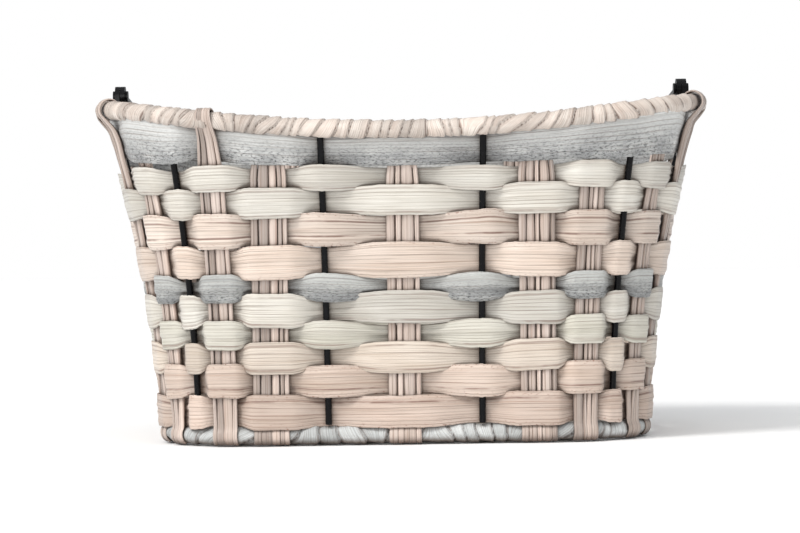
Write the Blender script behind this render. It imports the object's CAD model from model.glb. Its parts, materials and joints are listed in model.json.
import math
import json
import bpy
import numpy as np
from mathutils import Euler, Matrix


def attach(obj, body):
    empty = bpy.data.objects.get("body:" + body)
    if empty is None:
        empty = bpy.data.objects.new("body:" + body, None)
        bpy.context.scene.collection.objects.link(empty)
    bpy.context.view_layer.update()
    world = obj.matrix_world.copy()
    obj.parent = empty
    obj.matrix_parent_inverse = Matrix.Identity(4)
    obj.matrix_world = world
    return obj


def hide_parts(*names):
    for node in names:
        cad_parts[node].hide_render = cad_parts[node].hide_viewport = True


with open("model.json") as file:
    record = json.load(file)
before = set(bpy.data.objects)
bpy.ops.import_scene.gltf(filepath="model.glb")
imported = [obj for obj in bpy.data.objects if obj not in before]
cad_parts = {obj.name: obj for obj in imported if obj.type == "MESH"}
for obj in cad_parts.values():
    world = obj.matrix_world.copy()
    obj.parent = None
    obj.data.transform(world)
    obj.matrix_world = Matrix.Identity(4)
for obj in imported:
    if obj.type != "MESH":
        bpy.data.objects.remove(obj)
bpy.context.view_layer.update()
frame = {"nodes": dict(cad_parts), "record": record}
MM = 0.001

# ---- the wall, in millimetres, as the CAD builds it -------------------------------------------
WALL_HEIGHT = 200.0
BASE_OUTLINE = (151.0, 98.0, 60.0)  # half length, half depth, corner radius on the ground
TOP_OUTLINE = (185.0, 132.0, 75.0)
RIM_LOW = 190.0  # height of the rim in the middle of the front
RIM_RISE = 17.5  # how much higher it is at the ends
RIM_TUBE = 5.2
BINDING_Z = 6.2
BINDING_TUBE = 5.4
BINDING_INSET = 4.0
GROUND = 0.0
WEAVE_OFFSET = 2.95  # from an upright's middle to a strip's
STRIP_THICK = 1.15
STRAW_THICK = 3.4
FLAT_STRAW_THICK = 1.3  # where a straw is bent round the rim or the binding

# Name, station at the rim, station at the base, straws (0 for a wire), half width in the weave.
QUARTER = [
    ("middle", 0.0, 0.0, 4, 10.0),
    ("inner_wire", 0.445, 0.514, 0, 2.8),
    ("inner_stake", 0.727, 0.894, 5, 11.0),
    ("outer_stake", 1.06, 1.20, 4, 7.8),
    ("corner_wire", 1.27, 1.40, 0, 2.8),
    ("corner_stake_a", 1.47, 1.60, 3, 6.0),
    ("corner_stake_b", 1.72, 1.86, 3, 6.0),
    ("side_stake", 2.45, 2.24, 3, 6.4),
    ("side_wire", 3.0, 3.0, 0, 2.8),
]

# The rows from the rim down: lowest and highest edge where a strip lies in front, share of that
# width left where it is pinched behind an upright, and its leaf.
ROWS = [
    (168.5, 190.0, 0.90, "grey"),
    (153.5, 169.5, 0.76, "cream"),
    (138.0, 157.0, 0.80, "cream"),
    (120.0, 141.0, 0.82, "peach_lined"),
    (101.0, 122.0, 0.82, "peach"),
    (87.0, 104.5, 0.56, "mottled"),
    (72.5, 93.0, 0.68, "cream"),
    (59.0, 77.0, 0.62, "cream_green"),
    (43.5, 63.0, 0.64, "tan_light"),
    (28.5, 49.0, 0.82, "tan_lined"),
    (10.5, 31.0, 0.84, "tan"),
]


def flare(z):
    """How far the wall has leant out at a height: 0 at the ground, 1 at WALL_HEIGHT."""
    u = z / WALL_HEIGHT
    return 0.2 * u + 0.8 * u * u


def rim_height(x):
    return RIM_LOW + RIM_RISE * (x / TOP_OUTLINE[0]) ** 2


def outline_point(outline, station):
    """Point and outward normal on the front right quarter of a rounded rectangle.

    The station is 0 in the middle of the front, 1 and 2 at the ends of the corner, 3 in the middle
    of the side.
    """
    half_x, half_y, corner = outline
    if station <= 1:
        return np.array([(half_x - corner) * station, -half_y]), np.array([0.0, -1.0])
    if station >= 2:
        return np.array([half_x, -(half_y - corner) * (3 - station)]), np.array([1.0, 0.0])
    angle = math.radians(90 * (station - 1))
    normal = np.array([math.sin(angle), -math.cos(angle)])
    return np.array([half_x - corner, corner - half_y]) + normal * corner, normal


class Upright:
    """A wire or a bundle of straws in the wall."""

    def __init__(self, prefix, spec, mirror_x=1, mirror_y=1):
        name, top, base, self.straws, self.half_width = spec
        self.node = prefix + name
        mirror = np.array([mirror_x, mirror_y])
        top_point, top_normal = outline_point(TOP_OUTLINE, top)
        base_point, base_normal = outline_point(BASE_OUTLINE, base)
        self.top = top_point * mirror
        self.base = base_point * mirror
        normal = (top_normal + base_normal) * mirror
        self.normal = normal / np.linalg.norm(normal)
        self.along = np.array([-self.normal[1], self.normal[0]])

    def flat(self, z, aside=0.0, outward=0.0):
        lean = (self.top - self.base) * flare(z)
        return self.base + lean + self.along * aside + self.normal * outward

    def at(self, z, aside=0.0, outward=0.0):
        return np.append(self.flat(z, aside, outward), z)


def all_uprights():
    """The uprights in order round the basket, from the middle of the back towards -X."""
    middle, between, side = QUARTER[0], QUARTER[1:-1], QUARTER[-1]
    return [
        Upright("back_", middle, -1, -1),
        *(Upright("back_left_", spec, -1, -1) for spec in between),
        Upright("left_", side, -1, 1),
        *(Upright("front_left_", spec, -1, 1) for spec in reversed(between)),
        Upright("front_", middle),
        *(Upright("front_right_", spec) for spec in between),
        Upright("right_", side),
        *(Upright("back_right_", spec, 1, -1) for spec in reversed(between)),
    ]


UPRIGHTS = all_uprights()


# ---- node materials ---------------------------------------------------------------------------
def linear(rgb):
    """sRGB 0 to 255 as a linear colour."""
    out = []
    for value in rgb:
        c = value / 255
        out.append(c / 12.92 if c <= 0.04045 else ((c + 0.055) / 1.055) ** 2.4)
    return (*out, 1.0)


class Nodes:
    """A short way to write a material's node tree."""

    def __init__(self, name):
        self.material = bpy.data.materials.new(name)
        self.material.use_nodes = True
        self.tree = self.material.node_tree
        self.shader = self.tree.nodes["Principled BSDF"]

    def add(self, kind, inputs=None, **settings):
        node = self.tree.nodes.new(kind)
        for key, value in settings.items():
            setattr(node, key, value)
        for key, value in (inputs or {}).items():
            if isinstance(value, bpy.types.NodeSocket):
                self.tree.links.new(value, node.inputs[key])
            else:
                node.inputs[key].default_value = value
        return node

    def math(self, operation, a, b=0.0, c=0.0):
        return self.add("ShaderNodeMath", {0: a, 1: b, 2: c}, operation=operation).outputs[0]

    def times(self, a, b):
        return self.math("MULTIPLY", a, b)

    def scaled(self, value, gain, offset):
        """value * gain + offset"""
        return self.math("MULTIPLY_ADD", value, gain, offset)

    def noise(self, vector, scale, detail=3.0, rough=0.6):
        inputs = {"Vector": vector, "Scale": scale, "Detail": detail, "Roughness": rough}
        return self.add("ShaderNodeTexNoise", inputs).outputs["Fac"]

    def stretched_noise(self, vector, stretch, detail=3.0, rough=0.6):
        stretched = self.add("ShaderNodeMapping", {"Vector": vector, "Scale": stretch}).outputs[0]
        return self.noise(stretched, 1.0, detail, rough)

    def object_noise(self, scale):
        place = self.add("ShaderNodeTexCoord").outputs["Object"]
        return self.noise(place, scale, 4.0, 0.65)

    def ramp(self, fac, low, high):
        """0 where fac is at low, 1 where it is at high; low may be the larger."""
        inputs = {"Value": fac, "From Min": low, "From Max": high}
        return self.add("ShaderNodeMapRange", inputs).outputs[0]

    def apart(self, a, b):
        """The difference of two values without its sign."""
        return self.math("ABSOLUTE", self.math("SUBTRACT", a, b))

    def mix(self, fac, a, b, blend="MIX"):
        node = self.tree.nodes.new("ShaderNodeMix")
        node.data_type = "RGBA"
        node.blend_type = blend
        for key, value in ((0, fac), (6, a), (7, b)):
            if isinstance(value, bpy.types.NodeSocket):
                self.tree.links.new(value, node.inputs[key])
            else:
                node.inputs[key].default_value = value
        return node.outputs[2]

    def finish(self, colour, height=None, strength=1.0, distance=0.0, roughness=None):
        """Link the colour, the roughness and a bump of a strength and a distance in metres."""
        self.tree.links.new(colour, self.shader.inputs["Base Color"])
        if roughness is not None:
            self.tree.links.new(roughness, self.shader.inputs["Roughness"])
        if height is not None:
            inputs = {"Height": height, "Strength": strength, "Distance": distance}
            bump = self.add("ShaderNodeBump", inputs)
            self.tree.links.new(bump.outputs[0], self.shader.inputs["Normal"])
        return self.material


VEINS = 9  # parallel veins across a strip
VEIN_SWAY = 7.0  # how far they wander, in radians of the wave that draws them
HOLLOW_REACH = 0.008  # metres within which other leaf makes a spot a stained hollow
# sRGB, except the last two, which are linear.
VEIN_BROWN = (118, 96, 80)
LINE_BROWN = (112, 74, 58)
EDGE_BROWN = (108, 78, 62)
SPECK_RED = (138, 84, 66)
CLOUD_GREY = (120, 121, 121)
SPOT_GREY = (78, 78, 78)
SHADE_TINT = (0.93, 0.955, 0.99)
HOLLOW_STAIN = (0.15, 0.085, 0.05, 1.0)


def leaf_material(name, light, dark, streak, lines=(), mottle=0.0, speck=0.0, seam=0.0):
    """Dried leaf: fibres along the strip, blotches, hairlines, dark lines at shares of the width.

    mottle darkens and speckles the lower half, speck reddens the edges, seam darkens the edge of
    each turn. The UV runs along the strip in metres (x) and across it from 0 to 1 (y); tone is the
    piece's own shade. A noise's stretch is its cells per metre along and per width across.
    """
    n = Nodes(name)
    uv = n.add("ShaderNodeUVMap", uv_map="fibre").outputs[0]
    tone = n.add("ShaderNodeAttribute", attribute_name="tone").outputs["Fac"]
    across = n.add("ShaderNodeSeparateXYZ", {0: uv}).outputs[1]

    # Blotches, fibres and hairlines over the whole strip.
    fine = n.stretched_noise(uv, (20, 60, 1), 4.0, 0.7)
    fibre = n.stretched_noise(uv, (6, 15, 1), 3.0, 0.6)
    hair = n.stretched_noise(uv, (5, 34, 1), 1.0, 0.4)
    blotch = n.stretched_noise(uv, (22, 1.3, 1), 2.0, 0.5)
    colour = n.mix(n.ramp(blotch, 0.3, 0.7), linear(light), linear(dark))
    colour = n.mix(n.times(n.ramp(fibre, 0.52, 0.72), 0.6), colour, linear(streak))
    colour = n.mix(n.times(n.ramp(fine, 0.50, 0.72), 0.40), colour, linear(streak))
    thin_line = n.ramp(n.apart(hair, 0.5), 0.022, 0.004)
    colour = n.mix(n.times(thin_line, 0.45), colour, linear(VEIN_BROWN))

    # Veins: a wave across the strip that sways and breaks.
    sway = n.stretched_noise(uv, (9, 2.5, 1), 2.0, 0.5)
    phase = n.scaled(across, VEINS * 2 * math.pi, n.times(sway, VEIN_SWAY))
    unbroken = n.ramp(n.stretched_noise(uv, (14, 9, 1), 2.0), 0.30, 0.62)
    vein = n.times(n.ramp(n.math("SINE", phase), 0.55, 0.98), unbroken)
    colour = n.mix(n.times(vein, 0.5), colour, linear(VEIN_BROWN))

    from_middle = n.apart(across, 0.5)
    if mottle:
        lower = n.ramp(across, 0.75, 0.15)
        spots = n.stretched_noise(uv, (420, 22, 1), 4.0, 0.75)
        cloud = n.ramp(n.stretched_noise(uv, (60, 2.5, 1), 2.0, 0.5), 0.25, 0.55)
        clouded = n.times(n.times(lower, cloud), 0.7 * mottle)
        colour = n.mix(clouded, colour, linear(CLOUD_GREY))
        dotted = n.times(n.ramp(spots, 0.50, 0.60), n.scaled(lower, 0.85, 0.15))
        colour = n.mix(n.times(dotted, mottle), colour, linear(SPOT_GREY))
    if seam:
        colour = n.mix(n.times(n.ramp(from_middle, 0.37, 0.48), seam), colour, linear(EDGE_BROWN))
    for place, strength in lines:
        wander = n.scaled(n.stretched_noise(uv, (7, 0, 1), 2.0), 0.12, place - 0.06)
        line = n.ramp(n.apart(across, wander), 0.045, 0.012)
        broken = n.times(line, n.ramp(n.stretched_noise(uv, (34, 2, 1), 3.0), 0.36, 0.55))
        colour = n.mix(n.times(broken, strength), colour, linear(LINE_BROWN))
    if speck:
        dots = n.ramp(n.stretched_noise(uv, (420, 16, 1), 2.0), 0.58, 0.68)
        edge_dots = n.times(n.ramp(from_middle, 0.28, 0.48), dots)
        colour = n.mix(n.times(edge_dots, speck), colour, linear(SPECK_RED))

    # The piece's own shade, then the brown of its hollows.
    shade = n.scaled(tone, 0.44, 0.61)
    tinted = {channel: n.times(shade, tint) for channel, tint in enumerate(SHADE_TINT)}
    colour = n.mix(1.0, colour, n.add("ShaderNodeCombineColor", tinted).outputs[0], "MULTIPLY")
    hollow = n.add("ShaderNodeAmbientOcclusion", {"Distance": HOLLOW_REACH}, samples=6)
    stain = n.mix(n.ramp(hollow.outputs["AO"], 0.14, 0.78), HOLLOW_STAIN, (1.0, 1.0, 1.0, 1.0))
    colour = n.mix(1.0, colour, stain, "MULTIPLY")

    ridges = n.scaled(fibre, 0.45, n.scaled(fine, 0.4, n.times(vein, -0.45)))
    gloss = n.scaled(fine, 0.25, 0.32)
    n.shader.inputs["Specular IOR Level"].default_value = 0.42
    n.shader.inputs["Sheen Weight"].default_value = 0.12
    return n.finish(colour, ridges, strength=0.6, distance=0.0006, roughness=gloss)


def coated_wire_material():
    """Black plastic coating with small lumps, dust and scuffs."""
    n = Nodes("black_coating")
    lumps = n.object_noise(900)
    dust = n.object_noise(160)
    colour = n.mix(n.ramp(dust, 0.52, 0.75), linear((2, 2, 4)), linear((14, 14, 17)))
    n.shader.inputs["Specular IOR Level"].default_value = 0.16
    gloss = n.scaled(dust, 0.25, 0.14)
    return n.finish(colour, lumps, strength=0.35, distance=0.0002, roughness=gloss)


def zinc_material():
    """Bright zinc plate: brushed along the strip, with a faint crystal mottle and dull scuffs."""
    n = Nodes("zinc_plate")
    place = n.add("ShaderNodeTexCoord").outputs["Object"]
    brush = n.stretched_noise(place, (4000, 180, 180), 3.0, 0.7)
    mottle = n.object_noise(240)
    colour = n.mix(n.ramp(mottle, 0.35, 0.7), linear((176, 178, 180)), linear((140, 143, 148)))
    colour = n.mix(n.times(n.ramp(brush, 0.55, 0.8), 0.4), colour, linear((104, 104, 106)))
    n.shader.inputs["Metallic"].default_value = 0.9
    gloss = n.scaled(mottle, 0.35, 0.22)
    return n.finish(colour, brush, strength=0.25, distance=0.00015, roughness=gloss)


def rubber_material():
    """Matt black rubber with a fine moulded grain and pale chalky marks."""
    n = Nodes("black_rubber")
    grain = n.object_noise(1500)
    marks = n.object_noise(120)
    colour = n.mix(n.ramp(marks, 0.55, 0.8), linear((26, 26, 27)), linear((66, 65, 63)))
    gloss = n.scaled(grain, 0.25, 0.62)
    return n.finish(colour, grain, strength=0.5, distance=0.0002, roughness=gloss)


# Each leaf's light, dark and streak colours.
LEAVES = {
    "grey": leaf_material(
        "leaf_grey", (229, 227, 221), (208, 206, 200), (146, 145, 143), mottle=0.95),
    "cream": leaf_material(
        "leaf_cream", (230, 224, 212), (216, 208, 194), (168, 156, 138),
        lines=((0.10, 0.5), (0.90, 0.4))),
    "cream_green": leaf_material(
        "leaf_cream_green", (232, 226, 212), (214, 208, 191), (164, 154, 134),
        lines=((0.14, 0.6),)),
    "peach": leaf_material(
        "leaf_peach", (237, 219, 203), (225, 204, 186), (176, 144, 120), speck=0.4),
    "peach_lined": leaf_material(
        "leaf_peach_lined", (235, 219, 204), (223, 203, 186), (178, 146, 124),
        lines=((0.30, 0.8), (0.75, 0.7)), speck=0.8),
    "mottled": leaf_material(
        "leaf_mottled", (212, 211, 204), (188, 187, 181), (126, 126, 126), mottle=1.0),
    "tan_light": leaf_material(
        "leaf_tan_light", (230, 216, 200), (216, 200, 182), (172, 144, 120),
        lines=((0.12, 0.6), (0.88, 0.5))),
    "tan": leaf_material(
        "leaf_tan", (226, 205, 189), (212, 188, 170), (160, 124, 102),
        lines=((0.80, 0.8),), speck=0.7),
    "tan_lined": leaf_material(
        "leaf_tan_lined", (229, 209, 193), (215, 192, 173), (166, 130, 108),
        lines=((0.25, 0.75),), speck=0.9),
    "straw": leaf_material("straw", (226, 208, 195), (207, 187, 172), (164, 126, 106)),
    "rim": leaf_material(
        "rim_leaf", (240, 228, 215), (226, 208, 193), (178, 150, 132), seam=0.85),
    "binding": leaf_material(
        "binding_leaf", (226, 226, 222), (200, 201, 197), (136, 137, 134), seam=0.6),
}


# ---- mesh helpers -----------------------------------------------------------------------------
def grid_piece(name, points, uv, tone, leaf, nodes, closed_length):
    """A tube through a grid of points (along, round the section) in millimetres, ready to use."""
    along, around = points.shape[:2]
    vertices = (points.reshape(-1, 3) * MM).tolist()
    index = np.arange(along * around).reshape(along, around)
    a = index if closed_length else index[:-1]
    b = np.roll(index, -1, 0) if closed_length else index[1:]
    faces = np.stack([a, b, np.roll(b, -1, 1), np.roll(a, -1, 1)], -1).reshape(-1, 4).tolist()
    ends = [] if closed_length else [index[0].tolist(), index[-1][::-1].tolist()]
    mesh = bpy.data.meshes.new(name)
    mesh.from_pydata(vertices, [], faces + ends)
    layer = mesh.uv_layers.new(name="fibre")
    corners = np.empty(len(mesh.loops), dtype=np.int32)
    mesh.loops.foreach_get("vertex_index", corners)
    corner_uv = uv.reshape(-1, 2)[corners].astype(np.float32)
    if closed_length:  # the last ring of faces runs on instead of back to the start
        seam = np.arange(len(corners)) >= (along - 1) * around * 4
        turn = 2 * uv[-1, 0, 0] - uv[-2, 0, 0] - uv[0, 0, 0]
        corner_uv[seam & (corners < around), 0] += turn
    layer.data.foreach_set("uv", corner_uv.ravel())
    shade = mesh.attributes.new("tone", "FLOAT", "POINT")
    shade.data.foreach_set("value", tone.reshape(-1).astype(np.float32))
    mesh.polygons.foreach_set("use_smooth", [True] * len(mesh.polygons))
    mesh.materials.append(LEAVES[leaf])
    mesh.validate()
    piece = bpy.data.objects.new(name, mesh)
    bpy.context.collection.objects.link(piece)
    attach(piece, "basket")
    if nodes:
        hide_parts(*nodes)
    return piece


def join_pieces(name, pieces, nodes):
    """Several pieces of one node as one object."""
    for other in bpy.context.selected_objects:
        other.select_set(False)
    for piece in pieces:
        piece.select_set(True)
    bpy.context.view_layer.objects.active = pieces[0]
    bpy.ops.object.join()
    joined = pieces[0]
    joined.name = name
    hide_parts(*nodes)
    return joined


def ease(t):
    """From 0 to 1 with level ends."""
    return t * t * (3 - 2 * t)


def unit_rows(vectors):
    return vectors / np.linalg.norm(vectors, axis=1)[:, None]


def distance_along(points):
    """Length of the line through the points, from the first up to each."""
    return np.concatenate([[0], np.cumsum(np.linalg.norm(np.diff(points, axis=0), axis=1))])


def smooth_curve(points, closed, counts):
    """A curve through the points with tangents weighted by distance; counts is samples per span."""
    points = np.asarray(points, float)
    if points.ndim == 1:
        points = points[:, None]
    count = len(points)
    ahead = np.roll(points, -1, 0) - points
    gap = np.maximum(np.linalg.norm(ahead, axis=1), 1e-6)
    before, gap_before = np.roll(ahead, 1, 0), np.roll(gap, 1)
    weight = (gap / (gap + gap_before))[:, None]
    slope = before / gap_before[:, None] * weight + ahead / gap[:, None] * (1 - weight)
    if not closed:
        slope[0] = ahead[0] / gap[0]
        slope[-1] = before[-1] / gap_before[-1]
    out = []
    for i in range(count if closed else count - 1):
        j = (i + 1) % count
        t = (np.arange(counts[i]) / counts[i])[:, None]
        h = gap[i]
        out.append((2 * t**3 - 3 * t**2 + 1) * points[i] + (t**3 - 2 * t**2 + t) * h * slope[i]
                   + (-2 * t**3 + 3 * t**2) * points[j] + (t**3 - t**2) * h * slope[j])
    if not closed:
        out.append(points[-1:])
    return np.concatenate(out)


def smooth_noise(rng, count, step, closed=True):
    """Smooth random numbers from -1 to 1, one per sample, with a new value every step samples."""
    knots = max(4, int(round(count / step)))
    values = rng.uniform(-1, 1, knots)
    place = np.arange(count) / count * knots
    low = np.floor(place).astype(int)
    t = ease(place - low)
    high = (low + 1) % knots if closed else np.minimum(low + 1, knots - 1)
    return values[low % knots] * (1 - t) + values[high] * t


# ---- the woven rows ---------------------------------------------------------------------------
HALF_SPAN = 2  # samples over half an upright
GAP_SPAN = 9  # samples between uprights
SPANS = [HALF_SPAN, HALF_SPAN, GAP_SPAN] * len(UPRIGHTS)
SECTION = 17  # samples across a strip
CROWN = 0.5  # how round a strip is across its width
RELIEF = 0.42  # depth of the pleats along a strip, where it lies in front
PINCHED_RELIEF = 0.45  # added to it where the strip is pinched
LEAF_GRAIN = 0.12  # depth of the finest unevenness
ROW_WANDER = 1.1  # how far a strip's middle strays up and down
UNEVEN_WIDTH = 0.06  # share of the width
RAGGED_EDGE = 0.02  # share of the width
TOP_ROW_DROP = 3.0  # from the rim's height to the highest strip's upper edge
TOP_ROW_END_RISE = 6.0  # how much higher that strip's lower edge is at the ends
# Where the top row breaks the order of the weave; 1 and -1 mean what they do in row_sides.
SIDE_CHANGES = {
    (0, "front_right_outer_stake"): 1,
    (0, "front_right_corner_stake_a"): 1,
    (0, "front_left_corner_stake_a"): 1,
    (0, "front_right_corner_stake_b"): -1,
    (0, "front_left_corner_stake_b"): -1,
}


def row_sides(row):
    """For each upright, 1 where the row passes outside it and -1 where it passes inside."""
    return [SIDE_CHANGES.get((row, upright.node), 1 if (row + i) % 2 == 0 else -1)
            for i, upright in enumerate(UPRIGHTS)]


def row_curve(z, sides):
    """A row's line seen from above, at one height."""
    points = []
    for upright, side in zip(UPRIGHTS, sides):
        for aside in (-upright.half_width, 0, upright.half_width):
            points.append(upright.flat(z, aside, side * WEAVE_OFFSET))
    return smooth_curve(points, True, SPANS)


def make_row(row):
    """One woven strip: it swells outside an upright and is pinched where it goes behind one."""
    low, high, pinch, leaf = ROWS[row]
    rng = np.random.default_rng(100 + row)
    sides = row_sides(row)
    low_curve = row_curve(low, sides)
    high_curve = row_curve(high, sides)
    count = len(low_curve)

    # 1 where the strip is in front, -1 where it is behind, and eased between.
    knots = np.repeat(sides, 3).astype(float)
    front = np.concatenate([a + (b - a) * ease(np.arange(samples) / samples)
                            for a, b, samples in zip(knots, np.roll(knots, -1), SPANS)])
    behind = (1 - front[:, None]) / 2

    bottom = np.full(count, low)
    top = np.full(count, high)
    if row == 0:
        share = (high_curve[:, 0] / TOP_OUTLINE[0]) ** 2
        bottom = low + TOP_ROW_END_RISE * share
        top = RIM_LOW + RIM_RISE * share - TOP_ROW_DROP
    middle = (bottom + top) / 2 + ROW_WANDER * smooth_noise(rng, count, 17)
    swell = (1 + pinch) / 2 + (1 - pinch) / 2 * front
    width = (top - bottom) * swell * (1 + UNEVEN_WIDTH * smooth_noise(rng, count, 11))
    forward = unit_rows(np.roll(low_curve, -1, 0) - np.roll(low_curve, 1, 0))
    outward = np.stack([forward[:, 1], -forward[:, 0]], -1)

    # Pleats that change slowly along the strip, a crown and a slightly ragged edge.
    v = np.linspace(-0.5, 0.5, SECTION)
    pleats = sum(smooth_noise(rng, SECTION, 2.2, False) * weight for weight in (1.0, 0.6))
    other_pleats = smooth_noise(rng, SECTION, 1.7, False)
    drift = smooth_noise(rng, count, 60)[:, None]
    fold = pleats[None, :] * (1 - abs(drift)) + other_pleats[None, :] * drift
    grain = LEAF_GRAIN * rng.uniform(-1, 1, (count, SECTION))
    relief = fold * (RELIEF + PINCHED_RELIEF * behind) + grain
    crown = CROWN * (0.25 - v**2)[None, :] * (1 + front[:, None])
    ragged = 1 + RAGGED_EDGE * rng.uniform(-1, 1, (count, 1)) * np.abs(v * 2)[None, :] ** 3

    z = middle[:, None] + width[:, None] * v[None, :] * ragged
    share = ((z - low) / (high - low))[..., None]
    flat = low_curve[:, None] * (1 - share) + high_curve[:, None] * share
    thin = STRIP_THICK * (1 - 0.55 * (2 * np.abs(v)) ** 4)
    outer = flat + outward[:, None] * (relief + crown + thin[None, :] / 2)[..., None]
    inner = flat + outward[:, None] * (relief * 0.6 + crown * 0.8 - thin[None, :] / 2)[..., None]
    outer = np.concatenate([outer, z[..., None]], -1)
    inner = np.concatenate([inner, z[..., None]], -1)[:, ::-1]
    points = np.concatenate([outer, inner], 1)

    across = np.concatenate([v + 0.5, v[::-1] + 0.5])
    along = distance_along(low_curve) * MM + row * 3.1  # so that no two rows share a pattern
    uv = np.stack(np.broadcast_arrays(along[:, None], across[None, :]), -1)
    patch = 0.5 + 0.28 * smooth_noise(rng, count, 26) + 0.12 * front
    tone = np.repeat(patch[:, None], 2 * SECTION, 1)
    node = f"weaver_row_{row + 1:02d}"
    return grid_piece(f"woven_row_{row + 1:02d}", points, uv, tone, leaf, [node], True)


for row in range(len(ROWS)):
    make_row(row)


# ---- the straw bundles ------------------------------------------------------------------------
STRAW_SECTION = 14  # samples round a straw
STRAW_SHARES = [1.7, 0.7, 1.2, 0.8, 1.4]  # the widths of a bundle's straws beside each other
TONES = [0.0, 0.4, 0.6, 0.85]  # from dark to light
RIM_FOLD = RIM_TUBE + 1.3  # radius of a straw's bend over the rim
BINDING_FOLD = BINDING_TUBE + 1.0  # and under the binding
GROUND_CLEAR = 0.75  # lowest that a straw's middle may come


def straw(name, path, side_dirs, out_dirs, widths, thicks, seed, tone):
    """A flattened, ribbed straw along a path with its own width and thickness at every sample."""
    rng = np.random.default_rng(seed)
    around = STRAW_SECTION
    count = len(path)
    angle = np.arange(around) / around * 2 * math.pi
    ribs = (1 + 0.055 * np.cos(angle * 5 + rng.uniform(0, 6))
            + 0.05 * np.cos(angle * 3 + rng.uniform(0, 6)))
    wobble = 1 + 0.07 * smooth_noise(rng, count, 6, False)
    ring_x = np.cos(angle) * ribs
    ring_y = np.sign(np.sin(angle)) * np.abs(np.sin(angle)) ** 0.8 * ribs
    sideways = side_dirs[:, None] * (widths * wobble)[:, None, None] / 2 * ring_x[None, :, None]
    outwards = out_dirs[:, None] * thicks[:, None, None] / 2 * ring_y[None, :, None]
    points = path[:, None] + sideways + outwards
    along = distance_along(path) * MM + seed * 0.37  # so that no two straws share a pattern
    across = np.minimum(np.arange(around), around - np.arange(around)) / (around / 2) * 0.35
    uv = np.stack(np.broadcast_arrays(along[:, None], across[None, :] + seed * 0.11), -1)
    tones = np.full((count, around), tone) + 0.1 * smooth_noise(rng, count, 8, False)[:, None]
    return grid_piece(name, points, uv, tones, "straw", [], False)


def arc_points(centre_out, centre_z, radius, start, end, count):
    """Points (outward, z) round a ring seen in section, between two angles in degrees."""
    angles = np.radians(np.linspace(start, end, count))
    return [(centre_out + radius * math.cos(a), centre_z + radius * math.sin(a)) for a in angles]


def straw_line(number, k, depth, rim_z, folded):
    """(outward, z) along a straw: under the binding, up the wall, and over the rim if folded."""
    section = arc_points(-BINDING_INSET, BINDING_Z, BINDING_FOLD, -58, 40, 5)
    section += [(0.2, 17.0)]
    levels = np.linspace(26, rim_z - 17, 15)
    section += [(depth + 0.35 * math.sin(z * 0.11 + k * 1.9 + number), z) for z in levels]
    if folded:
        section += [(0.9, rim_z - 11), (3.9, rim_z - 6.2)]
        section += arc_points(0, rim_z, RIM_FOLD, -30, 172, 8)
        section += [(-RIM_TUBE - 1.0, rim_z - 3.5)]
    else:
        section += [(0, rim_z - 10), (0, rim_z - 4.5)]
    return smooth_curve(section, False, [3] * (len(section) - 1))


def make_bundle(number, upright):
    """A bundle of straws that wraps under the binding, and over the rim if it hides the top row."""
    rng = np.random.default_rng(500 + number)
    folded = row_sides(0)[number] < 0
    rim_z = rim_height(upright.top[0])
    shares = rng.permutation(STRAW_SHARES[:upright.straws])
    straw_widths = shares / shares.sum() * 2 * upright.half_width
    edges = np.concatenate([[0], np.cumsum(straw_widths)]) - upright.half_width
    gather_levels = [0, 14, 30, rim_z - 30, rim_z - 8, rim_z + 9]
    gathers = [0.98, 0.95, 1, 1, 0.74, 0.52]  # share of the bundle's width at each of those levels
    straws = []
    for k in range(upright.straws):
        aside = (edges[k] + edges[k + 1]) / 2
        line = straw_line(number, k, rng.uniform(-0.45, 0.45), rim_z, folded)
        count = len(line)
        heights = line[:, 1]
        gather = np.interp(heights, gather_levels, gathers)
        path = np.array([upright.at(min(z, WALL_HEIGHT + 4), aside * g, out)
                         for (out, z), g in zip(line, gather)])
        path[:, 2] = heights
        side = np.tile(np.append(upright.along, 0.0), (count, 1))
        out = np.cross(unit_rows(np.gradient(path, axis=0)), side)

        # A straw is flat where it is bent, which fades over seven samples.
        bent = (heights < 16) | (folded & (heights > rim_z - 8))
        flat = np.convolve(np.pad(np.where(bent, 1.0, 0.0), 3, mode="edge"), np.ones(7) / 7,
                           mode="valid")
        widths = straw_widths[k] * gather * (0.97 + 0.1 * flat)
        thicks = STRAW_THICK * (1 - flat) + FLAT_STRAW_THICK * flat
        path[:, 2] = np.maximum(path[:, 2], GROUND_CLEAR)
        tone = rng.choice(TONES) + rng.uniform(-0.1, 0.1)
        seed = 900 + number * 7 + k
        straws.append(straw(f"straw_{number:02d}_{k}", path, side, out, widths, thicks, seed, tone))
    return join_pieces(f"bundle_{upright.node}", straws, [upright.node])


for number, upright in enumerate(UPRIGHTS):
    if upright.straws:
        make_bundle(number, upright)


# ---- rim wrap and base binding ----------------------------------------------------------------
RING_STEP = 0.9  # between samples along a ring
RING_SECTION = 22  # samples round it
OVERLAP_LIFT = 1.2  # how far a turn stands over the next one


def ring_route(outline, height, step):
    """Closed route round an outline at a height that may depend on x, as evenly spaced samples."""
    stations = np.concatenate([np.linspace(start, start + 1, samples)[:-1]
                               for start, samples in ((0, 12), (1, 14), (2, 8))])
    quarter = [outline_point(outline, s)[0] for s in stations]
    side = outline_point(outline, 3.0)[0]
    front = quarter + [side]
    back = [np.array([p[0], -p[1]]) for p in reversed(quarter)]
    right = front + back
    left = [np.array([-p[0], p[1]]) for p in reversed(right[1:-1])]
    flat = np.array(right + left)
    closed = np.concatenate([flat, flat[:1]])
    length = distance_along(closed)
    count = int(length[-1] / step)
    place = np.arange(count) / count * length[-1]
    xy = np.stack([np.interp(place, length, closed[:, i]) for i in (0, 1)], -1)
    return np.concatenate([xy, np.array([[height(x)] for x in xy[:, 0]])], 1), length[-1]


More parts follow.
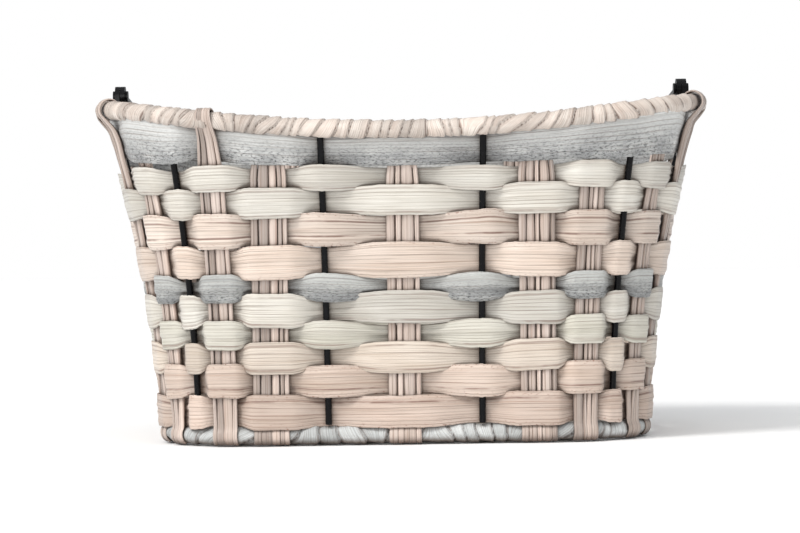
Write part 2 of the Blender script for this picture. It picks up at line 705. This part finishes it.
def wrapped_ring(name, outline, height, radius, pitch, leaf, node, seed, floor=None):
    """Leaf wound round a ring in overlapping turns of uneven width, each leaning by its width."""
    rng = np.random.default_rng(seed)
    route, total = ring_route(outline, height, RING_STEP)
    count = len(route)
    around = RING_SECTION
    turns = int(total / pitch)
    edges = np.cumsum(rng.uniform(0.35, 1.65, turns))
    edges = np.concatenate([[0], edges / edges[-1]])
    place = np.interp(np.arange(count) / count, edges, np.arange(turns + 1))
    angle = np.arange(around) / around * 2 * math.pi
    wander = smooth_noise(rng, count, 30)[:, None] * 0.5 * np.sin(angle)[None, :]
    aside = np.where(angle > math.pi, angle - 2 * math.pi, angle)  # jumps on the ring's inner side
    phase = place[:, None] - aside[None, :] / (2 * math.pi) + wander
    turn = np.floor(phase).astype(int) % turns
    share = phase - np.floor(phase)
    shade = rng.uniform(0.1, 0.9, turns)[turn]
    bulk = rng.uniform(-0.35, 0.45, turns)[turn]
    pleat = 0.12 * np.cos(share * math.pi * 6 + bulk * 9)
    groove = np.clip((0.10 - share) / 0.10, 0, 1)  # 1 at the edge where a turn begins
    overlap = OVERLAP_LIFT * (share**0.6 - 0.5) - 0.55 * OVERLAP_LIFT * groove
    middle = np.sin(share * math.pi)  # 1 in the middle of a turn
    reach = radius + overlap + bulk * middle + pleat * middle
    forward = unit_rows(np.roll(route, -1, 0) - np.roll(route, 1, 0))
    outward = unit_rows(np.stack([forward[:, 1], -forward[:, 0], np.zeros(count)], -1))
    upward = np.cross(outward, forward)
    upward *= np.sign(upward[:, 2:3])
    points = (route[:, None] + outward[:, None] * (np.cos(angle)[None, :] * reach)[..., None]
              + upward[:, None] * (np.sin(angle)[None, :] * reach)[..., None])
    if floor is not None:
        points[..., 2] = np.maximum(points[..., 2], floor)
    run = np.broadcast_to((angle * radius * MM)[None, :], (count, around))
    uv = np.stack([run + turn * 0.173, share], -1)  # a pattern of its own for each turn
    return grid_piece(name, points, uv, shade, leaf, [node], True)


def binding_height(x):
    """The same for every x, unlike the rim's."""
    return BINDING_Z


RIM_PITCH = 8.8  # mean width of a turn
BINDING_PITCH = 13.0
BINDING_OUTLINE = tuple(v - BINDING_INSET for v in BASE_OUTLINE)
wrapped_ring("rim_turns", TOP_OUTLINE, rim_height, RIM_TUBE, RIM_PITCH,
             "rim", "rim_wrap", seed=11)
wrapped_ring("binding_turns", BINDING_OUTLINE, binding_height, BINDING_TUBE, BINDING_PITCH,
             "binding", "base_binding", seed=12, floor=GROUND)


# ---- the woven base ---------------------------------------------------------------------------
LONG_PLACES = [(i - 3) * 23.0 for i in range(7)]
CROSS_PLACES = [(i - 5) * 24.0 for i in range(11)]
BASE_STRIP_WIDTH = 21.0
BASE_STRIP_HALF_THICK = 0.35
BASE_LEVEL = 8.9
BASE_WAVE = 0.85  # how far a strip rises and falls past the ones that it crosses
BASE_SECTION = 11  # samples across a strip
BASE_STEP = 2.5  # between samples along it
BINDING_REACH = 6.4  # from the binding's middle line to the ends of the strips


def base_half_chord(place, along_x):
    """Half the length of a base strip at that distance from the middle, inside the binding."""
    half_x, half_y, corner = (v - BINDING_INSET - BINDING_REACH for v in BASE_OUTLINE)
    reach, limit = (half_x, half_y) if along_x else (half_y, half_x)
    over = abs(place) - (limit - corner)
    return reach - (corner - math.sqrt(max(corner**2 - over**2, 0)) if over > 0 else 0)


def base_strips(name, along_x, places, crossings, first, leaf, node):
    """Flat leaf strips that pass over and under the strips they cross; first is 1 if over."""
    strips = []
    width = BASE_STRIP_WIDTH
    for i, place in enumerate(places):
        rng = np.random.default_rng(int(700 + 50 * along_x + i))
        half = base_half_chord(abs(place) + width / 2, along_x)
        run = np.arange(-half, half, BASE_STEP)
        count = len(run)
        pitch = crossings[1] - crossings[0]
        wave = np.cos((run - crossings[0]) / pitch * math.pi) * first * (1 if i % 2 == 0 else -1)
        v = np.linspace(-0.5, 0.5, BASE_SECTION)
        pleats = 0.22 * smooth_noise(rng, BASE_SECTION, 2, False)[None, :]
        relief = pleats + 0.05 * rng.uniform(-1, 1, (count, BASE_SECTION))
        crown = 0.3 * (0.25 - v**2)[None, :]
        height = BASE_LEVEL + BASE_WAVE * wave[:, None] + relief + crown
        uneven = (1 + 0.05 * smooth_noise(rng, count, 9, False))[:, None]
        across = place + width * v[None, :] * uneven
        flat = np.broadcast_to(run[:, None], across.shape)
        pair = (flat, across) if along_x else (across, flat)
        top = np.stack([*pair, height + BASE_STRIP_HALF_THICK], -1)
        under = np.stack([*pair, height - BASE_STRIP_HALF_THICK], -1)[:, ::-1]
        points = np.concatenate([top, under], 1)
        rows = np.concatenate([v + 0.5, v[::-1] + 0.5])
        uv = np.stack(np.broadcast_arrays((run * MM + i * 1.7)[:, None], rows[None, :]), -1)
        tone = np.full(points.shape[:2], rng.uniform(0.3, 0.7))
        strips.append(grid_piece(f"{name}_{i}", points, uv, tone, leaf, [], False))
    return join_pieces(name, strips, [node])


base_strips("base_long", True, LONG_PLACES, CROSS_PLACES, 1, "tan_light", "base_long_strips")
base_strips("base_cross", False, CROSS_PLACES, LONG_PLACES, -1, "cream", "base_cross_slats")


# ---- finishes of the metal and rubber parts ---------------------------------------------------
FINISHES = {
    "black_coated_wire": coated_wire_material(),
    "zinc_steel": zinc_material(),
    "black_rubber": rubber_material(),
}
for entry in frame["record"]["subparts"]:
    finish = FINISHES.get(entry["material_slot"])
    if finish:
        mesh = frame["nodes"][entry["node"]].data
        mesh.materials.clear()
        mesh.materials.append(finish)
        mesh.polygons.foreach_set("material_index", [0] * len(mesh.polygons))


# ---- floor, light and camera, in metres -------------------------------------------------------
FLOOR_DROP = 0.0006  # below the basket's foot
FLOOR_SIZE = 60
AMBIENT = 0.50
CAMERA_DISTANCE = 1.5  # from the front of the rim
CAMERA_HEIGHT = 0.108
CAMERA_ASIDE = -0.0021
CAMERA_ROLL = math.radians(0.84)
LENS = 113.4  # millimetres, like the sensor
SENSOR_WIDTH = 36


def make_floor():
    n = Nodes("studio_floor")
    dust = n.object_noise(3)
    colour = n.mix(dust, linear((250, 250, 250)), linear((253, 253, 253)))
    n.shader.inputs["Roughness"].default_value = 0.9
    n.finish(colour)
    bpy.ops.mesh.primitive_plane_add(size=FLOOR_SIZE, location=(0, 0, -FLOOR_DROP))
    floor = bpy.context.object
    floor.name = "studio_floor"
    floor.data.materials.append(n.material)


def area_light(name, place, target, size, power, colour):
    """A square light of a size in metres and a power in watts, turned to the target."""
    data = bpy.data.lights.new(name, "AREA")
    data.energy = power
    data.size = size
    data.color = colour
    lamp = bpy.data.objects.new(name, data)
    lamp.location = place
    direction = np.array(target) - np.array(place)
    pitch = math.atan2(-direction[2], math.hypot(direction[0], direction[1]))
    heading = math.atan2(direction[1], direction[0]) - math.pi / 2
    lamp.rotation_euler = Euler((math.pi / 2 - pitch, 0, heading))
    bpy.context.collection.objects.link(lamp)


def make_world():
    """A white backdrop that lights the object less than it shows."""
    world = bpy.data.worlds.new("studio")
    bpy.context.scene.world = world
    world.use_nodes = True
    tree = world.node_tree
    seen = tree.nodes["Background"]
    seen.inputs[0].default_value = (1, 1, 1, 1)
    seen.inputs[1].default_value = 1.0
    ambient = tree.nodes.new("ShaderNodeBackground")
    ambient.inputs[0].default_value = (0.96, 0.98, 1.0, 1)
    ambient.inputs[1].default_value = AMBIENT
    either = tree.nodes.new("ShaderNodeMixShader")
    path = tree.nodes.new("ShaderNodeLightPath")
    tree.links.new(path.outputs["Is Camera Ray"], either.inputs[0])
    tree.links.new(ambient.outputs[0], either.inputs[1])
    tree.links.new(seen.outputs[0], either.inputs[2])
    tree.links.new(either.outputs[0], tree.nodes["World Output"].inputs[0])


def sun_light(name, strength, size, tilt, turn, colour):
    """A distant light; size, tilt from straight down and turn about Z are in degrees."""
    data = bpy.data.lights.new(name, "SUN")
    data.energy = strength
    data.angle = math.radians(size)
    data.color = colour
    lamp = bpy.data.objects.new(name, data)
    lamp.rotation_euler = Euler((math.radians(tilt), 0, math.radians(turn)))
    bpy.context.collection.objects.link(lamp)


def make_studio():
    make_floor()
    make_world()
    sun_light("key", strength=2.0, size=18, tilt=48, turn=-48, colour=(1.0, 0.985, 0.965))
    sun_light("top", strength=0.8, size=80, tilt=22, turn=10, colour=(1.0, 1.0, 1.0))
    area_light("front_fill", place=(-0.5, -2.0, 0.5), target=(0, 0, 0.11), size=1.0, power=12,
               colour=(1.0, 0.99, 0.98))


def make_camera():
    data = bpy.data.cameras.new("camera")
    data.lens = LENS
    data.sensor_width = SENSOR_WIDTH
    camera = bpy.data.objects.new("camera", data)
    front = TOP_OUTLINE[1] * MM
    camera.location = (CAMERA_ASIDE, -front - CAMERA_DISTANCE, CAMERA_HEIGHT)
    camera.rotation_euler = Euler((math.pi / 2, CAMERA_ROLL, 0), "YXZ")
    bpy.context.collection.objects.link(camera)
    bpy.context.scene.camera = camera


make_studio()
make_camera()
bpy.context.scene.view_settings.view_transform = "Standard"
